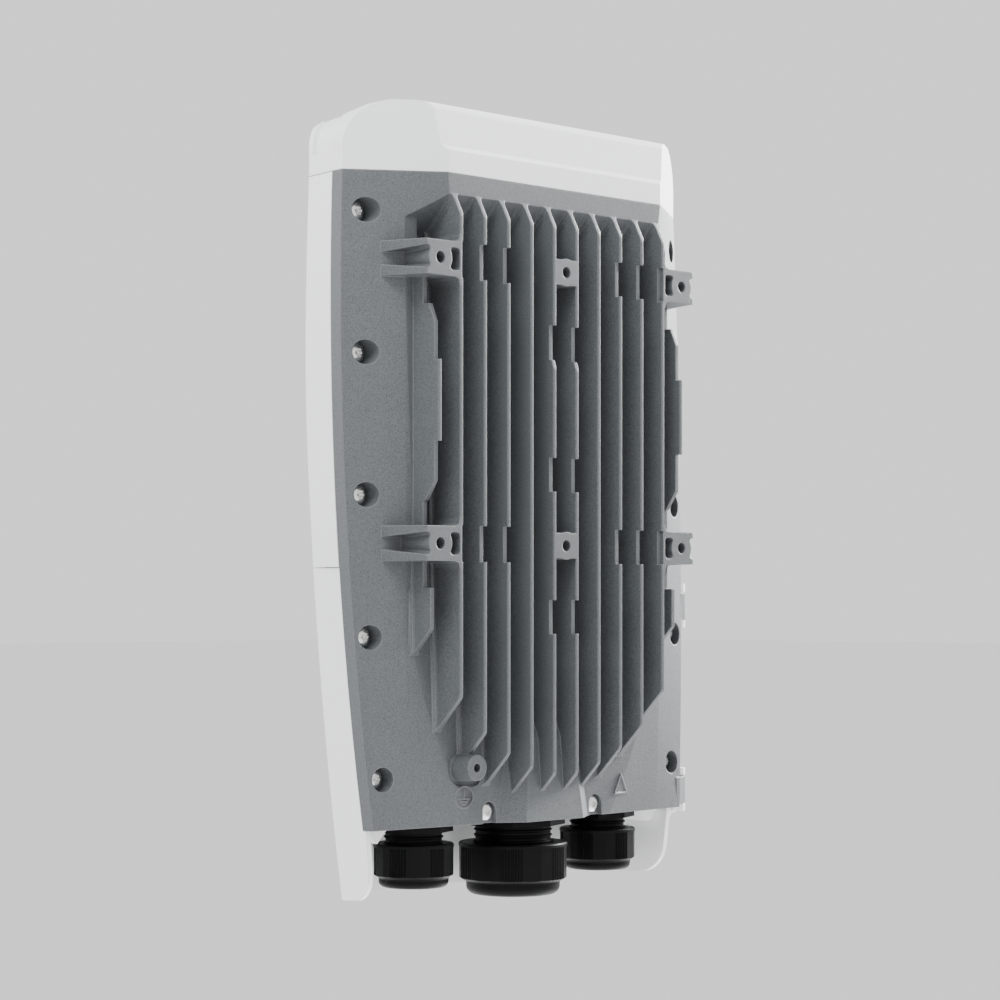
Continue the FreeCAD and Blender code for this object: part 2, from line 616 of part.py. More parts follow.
def make_door():
    high = -S.parting - S.cover_gap / 2
    outside, inside = cover_shell("door", -S.skirt_bottom, high, -S.skirt_back)
    rings = []
    for z in heights(-S.casting_bottom - S.cover_gap, high + 4.0, 5):
        rings.append((z, outline_edges([(-130, strip_y(z) - S.cover_gap), (130, strip_y(z) - S.cover_gap),
                                        (130, 5), (-130, 5)])))
    beside_casting = loft("door_beside_casting", rings)
    low = -S.skirt_bottom
    corner = prism("door_corner", [(-S.skirt_back + 5, low - 5), (-S.skirt_back + 5, low + 40),
                                   (-S.skirt_back, low + 40), (-S.skirt_back - 1.2, low + 1.5, S.skirt_round),
                                   (-55.0, low - 0.5), (-55.0, low - 5)], "X", -130, 260)
    knuckles, webs, bores = [], [], []
    for level, bottom, top in door_knuckle_spans():
        webs.append(door_web(f"door_web_{level}", bottom, top))
        knuckles.append(cylinder(f"door_knuckle_{level}", "knuckle / 2", top - bottom,
                                 ("-hinge_x", "-hinge_y", bottom)))
    for level, bottom, top in (("upper", -105.5, -82.0), ("lower", -199.5, -176.0)):
        bores.append(cylinder(f"door_bore_{level}", "pin_bore / 2", top - bottom,
                              ("-hinge_x", "-hinge_y", bottom)))
    bores.append(cylinder("latch_hole", "latch_bore / 2", 30.0, ("latch_x", -80.0, "-latch_z"), "Y"))
    bores.append(cylinder("knob_seat", "knob / 2 + 0.4", 10.0, ("latch_x", -77.4, "-latch_z"), "Y"))
    gusset = common("door_gusset", [
        door_web("door_gusset_web", -206.0, -199.0),
        prism("door_gusset_slope", [(-116.5, -198.9), (-100.0, -198.9), (-100.0, -205.5)], "Y", -60.0, 60.0)])
    ribs = []
    for side, sign in SIDES:
        wedge = [(sign * 87.6, -196.8), (sign * 99.4, -196.8), (sign * 93.5, -203.0)]
        ribs.append(common(f"door_rib_{side}", [
            outside, prism(f"door_rib_{side}_blank", wedge, "Y", -75.0, 44.0)]))
    boss = common("latch_boss", [outside, cylinder("latch_boss_blank", "knob / 2 + 2.4", 10.0,
                                                   ("latch_x", -74.9, "-latch_z"), "Y")])
    shell = cut("door_shell", outside, [inside, beside_casting, corner])
    solid = fuse("door_solid", [shell, boss, gusset, *ribs, *webs, *knuckles])
    return keep("lower_door", cut("door_cut", solid, bores))


def hood_rounds(name, inset):
    """The hood's sides and rounded upper corners, which draw in and tighten towards the front."""
    low, level = S.casting_top + S.cover_gap / 2 - inset, S.casting_top
    rear, front = rim_x(level), front_x(level)
    stations = ((2.0, rear, S.hood_top, S.hood_round), (rim_y(level) + 2.0, rear, S.hood_top, S.hood_round),
                (strip_y(level) - 0.8, strip_x(level), S.hood_top - 3.0, 17.0),
                (front_y(level), front, S.hood_top - 3.4, 16.0),
                (-S.crown_depth - 6.0, front - 3.4, S.hood_top - 3.4, 16.0))
    rings = []
    for y, half, top, corner in stations:
        wide, high, bend = half - inset, top - inset, corner - inset
        rings.append((y, outline_edges([(-wide, low), (wide, low), (wide, high, bend), (-wide, high, bend)])))
    return loft(name, rings, ruled=True, axis="Y")


def hood_solid(name, inset):
    """The hood's solid form: its rounded body, common with its plan and its outline from the side."""
    low, top = S.casting_top + S.cover_gap / 2 - inset, S.hood_top - inset
    level, wide = S.casting_top, rim_x(S.casting_top) + 3.0
    back_slope = (rim_y(level) + S.shoulder_depth) / (rim_x(level) - S.shoulder_half)
    bevel_slope = (S.bevel_depth + front_y(level)) / S.bevel_run
    side = [Vector(S.shoulder_half - 0.4 * inset, -S.shoulder_depth - inset, 0),
            Vector(wide, rim_y(level) + 3.0 * back_slope - 1.2 * inset, 0),
            Vector(wide, front_y(level) + bevel_slope * (wide - front_x(level)) + inset, 0),
            Vector(front_x(level) - S.bevel_run, -S.bevel_depth + inset, 0)]
    other = [Vector(-v.x, v.y, 0) for v in reversed(side)]
    edges = [Part.LineSegment(a, b) for a, b in zip(side, side[1:])]
    edges.append(Part.Arc(side[-1], Vector(0, -S.crown_depth + inset, 0), other[0]))
    edges += [Part.LineSegment(a, b) for a, b in zip(other, other[1:])]
    edges.append(Part.LineSegment(other[-1], side[0]))
    body = sweep(f"{name}_body", sketch(f"{name}_plan", edges, "Z", low), ALONG["Z"], 60.0)
    rear, step = -S.shoulder_depth, S.hood_step
    outline = [(rear + 1 - inset, low), (rear + 1 - inset, step - 3.1 - inset),
               (rear - 2.0 - inset, step + 0.5 - inset), (-9.6 - inset, top - 0.2, 4.5), (-27.0, top, 4.0),
               (-33.0, top - 3.4, 4.0), (-49.0, top - 4.0, 6.0),
               (-S.crown_depth + 7.0 + inset, top - 9.5, 16.0), (-S.crown_depth - 1 + inset, low)]
    side_view = prism(f"{name}_side_view", outline, "X", -130.0, 260.0)
    return common(name, [body, hood_rounds(f"{name}_rounds", inset), side_view])


def make_hood():
    outside = hood_solid("hood_outside", 0.0)
    inside = hood_solid("hood_inside", S.cover_wall)
    low, core = 115.0, hood_rounds("hood_pocket_floor", S.hood_pocket)
    pockets = []
    for side, sign in SIDES:
        corner = [(sign * 88.0, low + 8.0), (sign * 88.0, 145.0), (sign * 120.0, 145.0), (sign * 120.0, low),
                  (sign * 100.0, low)]
        blank = prism(f"hood_pocket_{side}_blank", corner, "Y", -57.0, 57.0 - 41.2)
        pockets.append(cut(f"hood_pocket_{side}", blank, [core]))
        pockets.append(cylinder(f"hood_dimple_{side}", 0.5, 2.4, (sign * 111.6 - 1.2, -42.4, low + 1.2), "X"))
    return keep("top_hood", cut("hood_shell", outside, [inside, *pockets]))


# ------------------------------------------------------------------ screws and hinge pins

def pan_head(name, head, height, shank, length, at, socket):
    """Pan head screw along +Y, head towards +Y, with a six-lobe socket; at is the seat's centre."""
    x, y, z = at
    lobes = []
    for index in range(6):
        angle = math.radians(60 * index)
        centre = (x + 0.72 * socket * math.cos(angle), y + 0.45 * height, z + 0.72 * socket * math.sin(angle))
        lobes.append(cylinder(f"{name}_lobe_{index}", socket * 0.36, height, centre, "Y"))
    lobes.append(cylinder(f"{name}_core", socket * 0.78, height, (x, y + 0.45 * height, z), "Y"))
    profile = [(0, -length), (shank, -length), (shank, 0), (head, 0), (head, 0.62 * height, 1.0),
               (0.6 * head, height, 3.0), (0, height)]
    return cut(name, turned(f"{name}_solid", profile, at, "Y"), lobes)


def make_screws():
    flank = []
    for sign in (1, -1):
        for index, (x, seat, z) in enumerate(flank_places()):
            flank.append(pan_head(f"flank_screw_{sign + 1}_{index}", S.flank_head / 2, S.flank_head_height,
                                  S.flank_shank / 2, 12.0, (sign * x, seat, z), 2.0))
    keep("flank_screws", group("flank_screw_group", flank))
    small = [pan_head(f"small_screw_{sign + 1}", S.small_head / 2, 2.6, 1.6, 6.0,
                      (sign * S.small_column, -19.0, -S.small_row), 1.7) for sign in (1, -1)]
    keep("bottom_edge_screws", group("small_screw_group", small))
    pins = [cylinder(f"pin_{level}", "pin / 2", top - bottom, ("-hinge_x", "-hinge_y", bottom))
            for level, bottom, top in (("upper", -104.6, -82.8), ("lower", -198.7, -177.2))]
    keep("hinge_pins", group("hinge_pin_pair", pins))


# ------------------------------------------------------------------ lid, seals and cover rails

def rim_plate(name, inset, low, high, front, thickness):
    """A flat plate across Y whose sides follow the tray's rim, at an inset from the rim line."""
    right = [Vector(rim_x(z) - inset, z, 0) for z in heights(low, high, 7)]
    left = [Vector(-v.x, v.y, 0) for v in reversed(right)]
    side, other = Part.BSplineCurve(), Part.BSplineCurve()
    side.interpolate(right)
    other.interpolate(left)
    outline = [side, Part.LineSegment(right[-1], left[0]), other, Part.LineSegment(left[-1], right[0])]
    return sweep(name, sketch(f"{name}_outline", outline, "Y", front), ALONG["Y"], thickness)


LID_LOW, LID_HIGH = -S.casting_bottom + 0.4, S.casting_top - 2.0
ACCESS = {"left": -80.0, "right": 45.0, "low": -186.0, "high": -100.0}


def hex_screw(name, x, y, z, head, shank, length):
    """Socket screw along Y with its head towards -Y; y is the seat."""
    height = S.lid_head_height
    parts = [cylinder(f"{name}_head", head, height, (x, y - height, z), "Y"),
             cylinder(f"{name}_stem", shank, length, (x, y, z), "Y")]
    hexagon = [(x + 1.2 * math.cos(math.radians(60 * k)), z + 1.2 * math.sin(math.radians(60 * k)))
               for k in range(6)]
    return cut(name, fuse(f"{name}_solid", parts), [prism(f"{name}_hex", hexagon, "Y", y - 2.4, 2.0)])


def make_lid():
    front = -S.tray_front
    drop = 2.6
    seat = front - S.gasket
    face = seat - S.lid_plate
    gasket = cut("gasket", rim_plate("gasket_outer", S.tray_inset + 0.4, LID_LOW, LID_HIGH, seat, S.gasket),
                 [rim_plate("gasket_inner", S.tray_inset + S.tray_wall - 0.2, LID_LOW + drop, LID_HIGH - drop,
                            seat, S.gasket)])
    plate = rim_plate("lid_blank", S.tray_inset, LID_LOW - 0.2, LID_HIGH + 0.2, face, S.lid_plate)
    pan = span_box("pan", (-76, 76), (face - S.pan_rise, face + 0.5), (-84, 86))
    pan_hollow = span_box("pan_hollow", (-74, 74), (face - S.pan_rise + 2, face + S.lid_plate + 1), (-82, 84))
    left, right, bottom, top = (ACCESS[edge] for edge in ("left", "right", "low", "high"))
    inside = {"x": (left + 6, right - 6), "z": (bottom + 6, top - 6)}
    opening = span_box("access_opening", inside["x"], (face - 1, face + 4), inside["z"])
    holes = [pan_hollow, opening]
    screws = []
    for index, (x, z) in enumerate(lid_screw_places()):
        holes.append(cylinder(f"lid_hole_{index}", 1.2, 6.0, (x, face - 1, z), "Y"))
        screws.append(hex_screw(f"lid_screw_{index}", x, face, z, S.lid_head / 2, 1.1, 8.0))
    gasket_holes = [cylinder(f"gasket_hole_{index}", 1.2, 3.0, (x, front - 2, z), "Y")
                    for index, (x, z) in enumerate(lid_screw_places())]
    access_screws = []
    spots = [(x, z) for x in (left + 3, right - 3) for z in (bottom + 3, (bottom + top) / 2, top - 3)]
    for index, (x, z) in enumerate(spots):
        holes.append(cylinder(f"access_tap_{index}", 1.2, 8.0, (x, face - 1, z), "Y"))
        access_screws.append(hex_screw(f"access_screw_{index}", x, face - S.gasket - 2.0, z,
                                       S.lid_head / 2, 1.1, 4.4))
    keep("lid_gasket", cut("gasket_ring", gasket, gasket_holes))
    keep("inner_lid", cut("lid", fuse("lid_solid", [plate, pan]), holes))
    keep("lid_screws", group("lid_screw_group", screws))
    seal = cut("access_seal", span_box("seal_outer", (left, right), (face - S.gasket, face), (bottom, top)),
               [span_box("seal_inner", inside["x"], (face - 2, face + 1), inside["z"])]
               + [cylinder(f"seal_hole_{index}", 1.2, 4.0, (x, face - 3, z), "Y")
                  for index, (x, z) in enumerate(spots)])
    keep("access_gasket", seal)
    cover = span_box("access_plate", (left, right), (face - S.gasket - 2.0, face - S.gasket), (bottom, top))
    keep("access_cover", cut("access_cover_plate", cover,
                             [cylinder(f"access_hole_{index}", 1.2, 5.0, (x, face - 4, z), "Y")
                              for index, (x, z) in enumerate(spots)]))
    keep("access_screws", group("access_screw_group", access_screws))


def make_rails():
    """Moulded rails beside the tray: the flank screws pull them to the casting, the covers clip over them."""
    for side, sign in SIDES:
        rings = []
        for z in heights(-190.0, 98.0, 6):
            near, far = rim_x(z) - S.tray_inset + 0.5, rim_x(z) - 5.6
            back, front = strip_y(z) - S.lip_depth - 0.2, -50.0
            ring = [(sign * near, back), (sign * far, back), (sign * (far - 2.0), front),
                    (sign * near, front)]
            rings.append((z, outline_edges(ring)))
        blank = loft(f"rail_{side}_blank", rings)
        holes = [cylinder(f"rail_{side}_hole_{index}", 1.75, 30.0, (sign * x, seat - 30.0, z), "Y")
                 for index, (x, seat, z) in enumerate(flank_places())]
        keep(f"{side}_cover_rail", cut(f"rail_{side}", blank, holes))


# ------------------------------------------------------------------ cable glands

def thread_points(major, bore, low, high, pitch):
    """Half section of a ridged tube between two heights."""
    ridge = 0.28 * pitch
    points = [(bore, low), (major - ridge, low)]
    level = low
    while level + pitch <= high:
        points += [(major - ridge, level + 0.28 * pitch), (major, level + 0.5 * pitch),
                   (major, level + 0.66 * pitch), (major - ridge, level + 0.88 * pitch)]
        level += pitch
    return points + [(major - ridge, high), (bore, high)]


def around(radius, degrees, x=0.0, y=0.0):
    """A point on a circle."""
    return (x + radius * math.cos(math.radians(degrees)), y + radius * math.sin(math.radians(degrees)))


def nut_outline(radius, turn, x, y):
    """Plan of a cap nut: six finely ribbed arcs, each followed by a wide and a narrow flat."""
    arc, flat, ribs, groove = 25.0, 21.0, 7, 0.45
    points = []
    for start in (turn + 60.0 * sector for sector in range(6)):
        for rib in range(ribs):
            for offset, depth in ((0.0, 0.0), (0.2, groove), (0.6, groove), (0.8, 0.0)):
                points.append(around(radius - depth, start + arc * (rib + offset) / ribs, x, y))
        points += [around(radius, start + arc, x, y), around(radius, start + arc + flat, x, y)]
    return points


def make_gland(name, at, size, nut_levels, lip, lip_round, locknut, turn):
    """Cable gland: body through the casting's floor, locknut inside, seal, thrust ring and cap nut below.

    size is (entry, thread, nut, bore) and nut_levels is (top, low, lip's low), all outside measures."""
    x, y = at
    entry, thread, nut, bore = size
    nut_top, nut_low, lip_low = nut_levels
    flange = nut / 2 - (1.1 if nut > 45 else 0.4)
    flange_high = -S.casting_bottom - S.gasket
    flange_low = flange_high - S.flange
    body_low, wall = nut_low + 4.0, bore / 2 + 3.0
    octagon = [around(flange, 45 * corner, x, y) for corner in range(8)]
    threads = thread_points(thread / 2, wall, body_low, flange_low + 0.5, S.thread_pitch)
    spigot = [(wall, flange_low), (entry / 2, flange_low), (entry / 2, -184.0), (wall, -184.0)]
    body = [prism(f"{name}_flange", octagon, "Z", flange_low, "flange"),
            turned(f"{name}_thread", threads, (x, y, 0)), turned(f"{name}_entry", spigot, (x, y, 0))]
    keep(f"{name}_gland_body", cut(f"{name}_body", fuse(f"{name}_body_solid", body),
                                   [cylinder(f"{name}_bore", wall, 80.0, (x, y, -260.0))]))
    nut_plan = [around(entry / 2 + 3.4, 60 * corner, x, y) for corner in range(6)]
    hexagon = prism(f"{name}_hex", nut_plan, "Z", -S.cavity_bottom, locknut)
    keep(f"{name}_locknut", cut(f"{name}_locknut_ring", hexagon,
                                [cylinder(f"{name}_locknut_bore", entry / 2 + 0.05, 20.0, (x, y, -200.0))]))
    insert = [(bore / 2, lip_low + 6.0), (wall - 0.2, lip_low + 6.0), (wall - 0.2, body_low + 12.0),
              (bore / 2, body_low + 12.0)]
    keep(f"{name}_seal", turned(f"{name}_seal_insert", insert, (x, y, 0)))
    ring = [(bore / 2 + 0.5, lip_low + 3.8), (thread / 2 - 0.6, lip_low + 3.8),
            (thread / 2 - 0.6, lip_low + 5.6), (bore / 2 + 0.5, lip_low + 5.6)]
    keep(f"{name}_thrust_ring", turned(f"{name}_ring", ring, (x, y, 0)))
    collar = cylinder(f"{name}_collar", nut / 2, 1.8, (x, y, nut_top - 1.8))
    ribbed = prism(f"{name}_ribs", nut_outline(nut / 2 - 0.3, turn, x, y), "Z", lip_low,
                   nut_top - 1.8 - lip_low)
    clear, seat = thread / 2 + 0.25, lip_low + 3.5
    profile = [(bore / 2 + 0.4, lip_low, 1.2), (lip, lip_low, lip_round), (lip, nut_low - 0.6),
               (nut / 2 - 2.2, nut_low), (nut / 2 + 0.2, nut_low + 1.6), (nut / 2 + 0.2, nut_top - 0.8),
               (nut / 2 - 0.6, nut_top), (clear, nut_top), (clear, seat), (bore / 2 + 0.4, seat)]
    keep(f"{name}_cap_nut", common(f"{name}_nut", [fuse(f"{name}_nut_blank", [collar, ribbed]),
                                                   turned(f"{name}_nut_profile", profile, (x, y, 0))]))
    near, far, top = entry / 2 + 0.3, flange - 2.2, flange_high + S.gasket
    washer = [(near, flange_high), (far, flange_high), (far, top), (near, top)]
    return turned(f"{name}_washer", washer, (x, y, 0))


def make_glands():
    size = (S.centre_entry, S.centre_thread, S.centre_nut, S.centre_bore)
    washers = [make_gland("centre", (0.0, -S.centre_depth), size, (-207.8, -226.2, -233.0), 22.8, 4.2,
                          5.5, 30.7)]
    for side, sign in SIDES:
        washers.append(make_gland(side, (sign * S.side_column, -S.side_depth),
                                  (S.side_entry, S.side_thread, S.side_nut, S.side_bore),
                                  (-204.7, -220.8, -225.4), 16.5, 3.0, 5.0, 11.5))
    keep("gland_washers", group("gland_washer_group", washers))
    outside = -S.casting_bottom - 0.1
    vent = [(0.0, outside - 2.4, 0), (7.6, outside - 2.4, 0.6), (7.6, outside, 0), (6.0, outside, 0),
            (6.0, -190.0, 0), (3.0, -190.0, 0), (3.0, outside - 0.6, 0), (0.0, outside - 0.6, 0)]
    keep("pressure_vent", turned("vent", vent, (-S.vent_column, -S.vent_depth, 0)))


# ------------------------------------------------------------------ latch and light pipe

def make_latch():
    x, z = S.latch_x, -S.latch_z
    seat = -67.4
    knob = cut("knob_disc", cylinder("knob_blank", "knob / 2", 2.6, (x, seat - 2.6, z), "Y"),
               [span_box("knob_slot", (x - 6.5, x + 6.5), (seat - 3.0, seat - 1.2), (z - 0.9, z + 0.9))])
    shaft = cylinder("knob_shaft", "latch_shaft / 2", -59.9 - seat, (x, seat, z), "Y")
    keep("latch_knob", fuse("knob_solid", [knob, shaft]))
    arm = prism("cam_arm", [(x - 3.6, z - 12.5, 2.5), (x + 3.6, z - 12.5, 2.5), (x + 3.6, z + 3.6, 2.5),
                            (x - 3.6, z + 3.6, 2.5)], "Y", -62.0, 2.0)
    keep("latch_cam", cut("cam", arm, [cylinder("cam_bore", "latch_shaft / 2", 6.0, (x, -64.0, z), "Y")]))
    lid_face = -S.tray_front - S.gasket - S.lid_plate
    foot = span_box("keeper_foot", (x + 8.0, x + 16.0), (-59.8, lid_face), (z - 6, z + 6))
    post = span_box("keeper_post", (x + 14.0, x + 16.0), (-64.0, -59.0), (z - 6, z + 6))
    hook = span_box("keeper_hook", (x + 7.0, x + 16.0), (-64.0, -62.4), (z - 6, z + 6))
    keep("latch_keeper", fuse("keeper", [foot, post, hook]))
    pipe = [cylinder("pipe_stem", 2.9, 6.3, (0, -70.8, 40.0), "Y"),
            cylinder("pipe_foot", 4.5, 1.5, (0, -66.0, 40.0), "Y")]
    keep("light_pipe", fuse("pipe", pipe))


# ------------------------------------------------------------------ electronics

def row_of_boxes(label, size, places):
    parts = [box(f"{label}_{index}", size, at) for index, at in enumerate(places)]
    return keep(label, group(f"{label}_group", parts) if len(parts) > 1 else parts[0])


def make_electronics():
    back = -S.board_back
    face = back - S.board_thickness
    spots = [(sign * 76.0, z) for sign in (1, -1) for z in (-140.0, -30.0, 86.0)]
    board = box("board_blank", ("board_half * 2", "board_thickness", "board_top + board_bottom"),
                ("-board_half", "-board_back - board_thickness", "-board_bottom"))
    keep("main_board", cut("board", board, [cylinder(f"board_hole_{index}", 1.7, 6.0, (x, back - 3, z), "Y")
                                            for index, (x, z) in enumerate(spots)]))
    posts = []
    for index, (x, z) in enumerate(spots):
        blank = cylinder(f"post_blank_{index}", 3.0, -S.cavity_back - back, (x, back, z), "Y")
        posts.append(cut(f"post_{index}", blank,
                         [cylinder(f"post_bore_{index}", 1.5, 20.0, (x, back - 5, z), "Y")]))
    keep("board_posts", group("post_group", posts))
    screws = [hex_screw(f"board_screw_{index}", x, face, z, 2.8, 1.45, 8.0)
              for index, (x, z) in enumerate(spots)]
    keep("board_screws", group("board_screw_group", screws))
    modules = ((-48.0, 30.0), (0.0, 30.0), (48.0, 30.0), (-24.0, -35.0), (24.0, -35.0))
    wall = -S.cavity_back
    row_of_boxes("thermal_pads", (36.0, 0.5, 30.0), [(x - 18, wall - 0.5, z - 15) for x, z in modules])
    row_of_boxes("power_modules", (34.0, 7.0, 28.0), [(x - 17, wall - 7.5, z - 14) for x, z in modules])
    keep("dc_link_capacitors", group("capacitor_group", [
        cylinder(f"capacitor_{index}", 8.0, 40.0, (-62.0 + 17.5 * index, face - 8.1, 48.0))
        for index in range(8)]))
    cores = []
    for index, x in enumerate((-52.0, 4.0)):
        blank = span_box(f"core_blank_{index}", (x, x + 44.0), (face - 17.5, face - 0.5), (-4, 36))
        windows = [span_box(f"core_window_{index}_{k}", (x + 7 + 17 * k, x + 20 + 17 * k),
                            (face - 20, face + 2), (4, 28)) for k in range(2)]
        cores.append(cut(f"core_{index}", blank, windows))
    keep("boost_inductors", group("inductor_group", cores))
    coils = []
    for index, x in enumerate((-52.0, 4.0)):
        outer = span_box(f"coil_{index}", (x + 14.0, x + 30.0), (face - 17.0, face - 1.0), (5.0, 27.0))
        coils.append(cut(f"coil_wound_{index}", outer,
                         [span_box(f"coil_core_{index}", (x + 20.0, x + 24.0), (face - 18, face), (4, 28))]))
    keep("inductor_windings", group("winding_group", coils))
    disc = cylinder("choke_disc", 17.0, 16.0, (53.0, face - 16.5, -48.0), "Y")
    keep("grid_filter_choke", cut("choke_ring", disc,
                                  [cylinder("choke_eye", 8.0, 20.0, (53.0, face - 18.0, -48.0), "Y")]))
    rows = {"grid_relays": ((18.0, 15.0, 22.0), -76.0, 21.0, -66.0, 4),
            "film_capacitors": ((26.0, 12.0, 14.0), -71.0, 29.0, -36.0, 3),
            "surge_arresters": ((10.0, 9.0, 14.0), -76.0, 13.0, -92.0, 5),
            "current_sensors": ((14.0, 10.0, 12.0), 46.0, 17.0, -90.0, 2)}
    for label, (size, start, step, level, count) in rows.items():
        row_of_boxes(label, size, [(start + step * k, face - size[1], level) for k in range(count)])
    fuses = [cylinder(f"fuse_{index}", 3.0, 20.0, (8.0 + 12.0 * index, face - 4.0, -94.0))
             for index in range(3)]
    keep("input_fuses", group("fuse_group", fuses))
    control = face - 18.5
    keep("control_board", box("control_card", (60.0, 1.2, 36.0), (-66.0, control, -43.0)))
    keep("communication_module", box("communication_card", (30.0, 1.2, 22.0), (20.0, control, -92.0)))
    keep("card_posts", group("card_post_group", [
        cylinder(f"card_post_{index}", 1.4, face - control - 1.2, (x, control + 1.2, z), "Y")
        for index, (x, z) in enumerate(((-64.0, -10.0), (-8.0, -10.0), (-64.0, -40.0), (-8.0, -40.0),
                                        (47.0, -72.5), (22.5, -72.5)))]))
    for label, start, ways in (("dc_terminal_block", 6.0, 3), ("ac_terminal_block", -72.0, 5)):
        block = span_box(f"{label}_blank", (start, start + 13.0 * ways), (face - 15.0, face),
                         (-146.0, -126.0))
        holes = []
        for way in range(ways):
            centre = start + 13.0 * way + 6.5
            holes.append(cylinder(f"{label}_entry_{way}", 3.6, 12.0, (centre, face - 6.0, -150.0)))
            holes.append(cylinder(f"{label}_driver_{way}", 2.6, 10.0, (centre, face - 16.0, -134.0), "Y"))
        keep(label, cut(f"{label}_drilled", block, holes))
    keep("signal_terminal", span_box("signal_block", (50.0, 68.0), (face - 10.0, face), (-146.0, -134.0)))
    keep("status_led_board", span_box("led_card", (-10, 10), (-64.5, -63.3), (32, 48)))


make_housing()
make_front_cover()
make_door()
make_hood()
make_screws()
make_lid()
make_rails()
make_glands()
make_latch()
make_electronics()


# ------------------------------------------------------------------ recompute, check and write

doc.recompute()
for obj in doc.Objects:
    bad = [state for state in obj.State if state in ("Invalid", "Error")]
    if bad:
        raise RuntimeError(f"{obj.Name} ({obj.Label}) failed: {bad}")
os.makedirs("parts", exist_ok=True)
for label, obj in pieces.items():
    shape = obj.Shape
    if shape.isNull() or not shape.isValid() or not shape.Solids:
        raise RuntimeError(f"{label} has no valid solid")
    shape.exportStep(f"parts/{label}.step")
    print(label, len(shape.Solids), round(shape.Volume / 1000, 2))
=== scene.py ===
import json

import bpy
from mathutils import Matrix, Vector

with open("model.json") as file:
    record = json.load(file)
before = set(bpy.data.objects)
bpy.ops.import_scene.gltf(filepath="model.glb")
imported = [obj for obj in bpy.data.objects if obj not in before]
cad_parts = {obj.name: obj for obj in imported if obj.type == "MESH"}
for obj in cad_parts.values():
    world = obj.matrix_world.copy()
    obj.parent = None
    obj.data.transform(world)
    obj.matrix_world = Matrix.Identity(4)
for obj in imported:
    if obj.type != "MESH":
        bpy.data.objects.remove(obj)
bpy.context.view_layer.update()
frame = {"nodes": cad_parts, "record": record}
nodes = frame["nodes"]
SLOT_OF = {part["node"]: part["material_slot"] for part in frame["record"]["subparts"]}

# ------------------------------------------------------------------ camera, floor and lights

CAMERA_AT = (0.9243, 0.8848, -0.0920)
CAMERA_TOWARDS = (-0.7050, -0.7092, 0.0)
CAMERA_LENS, SENSOR_WIDTH = 96.75, 36.0
CAMERA_SHIFT_UP = 0.1025

FLOOR_HEIGHT = -1.2
FLOOR_REACH = 60.0
FLOOR_TONE = (0.92, 0.92, 0.92)
FLOOR_ROUGHNESS = 0.8

WORLD_STRENGTH = 1.2
LIGHT_TARGET = (0, -0.03, -0.05)
WHITE = (1, 1, 1)
# name: place, side of the square lamp, power in watts, colour
LIGHTS = {
    "key": ((-2.1, 0.10, 0.8), 0.7, 225, WHITE),
    "side": ((0.75, 0.35, 1.15), 0.6, 19, (0.92, 0.96, 1.0)),
    "front": ((0.9, -1.8, 0.9), 1.4, 26, WHITE),
}


def add_camera():
    data = bpy.data.cameras.new("camera")
    data.lens, data.sensor_width = CAMERA_LENS, SENSOR_WIDTH
    data.shift_y = CAMERA_SHIFT_UP
    camera = bpy.data.objects.new("camera", data)
    camera.location = CAMERA_AT
    camera.rotation_euler = Vector(CAMERA_TOWARDS).to_track_quat("-Z", "Y").to_euler()
    bpy.context.scene.collection.objects.link(camera)
    bpy.context.scene.camera = camera


def add_light(name, place, size, power, colour):
    data = bpy.data.lights.new(name, "AREA")
    data.shape, data.size, data.size_y = "RECTANGLE", size, size
    data.energy, data.color = power, colour
    lamp = bpy.data.objects.new(name, data)
    lamp.location = place
    lamp.rotation_euler = (Vector(LIGHT_TARGET) - Vector(place)).to_track_quat("-Z", "Y").to_euler()
    bpy.context.scene.collection.objects.link(lamp)


def add_floor():
    mesh = bpy.data.meshes.new("floor")
    reach = FLOOR_REACH
    corners = [(-reach, -reach), (reach, -reach), (reach, reach), (-reach, reach)]
    mesh.from_pydata([(x, y, FLOOR_HEIGHT) for x, y in corners], [], [(0, 1, 2, 3)])
    floor = bpy.data.objects.new("floor", mesh)
    bpy.context.scene.collection.objects.link(floor)
    material = bpy.data.materials.new("floor")
    material.use_nodes = True
    shader = material.node_tree.nodes["Principled BSDF"]
    shader.inputs["Base Color"].default_value = (*FLOOR_TONE, 1)
    shader.inputs["Roughness"].default_value = FLOOR_ROUGHNESS
    mesh.materials.append(material)


def light_scene():
    world = bpy.data.worlds.new("studio")
    world.use_nodes = True
    background = world.node_tree.nodes["Background"]
    background.inputs["Color"].default_value = (*WHITE, 1)
    background.inputs["Strength"].default_value = WORLD_STRENGTH
    bpy.context.scene.world = world
    for name, (place, size, power, colour) in LIGHTS.items():
        add_light(name, place, size, power, colour)


# ------------------------------------------------------------------ materials

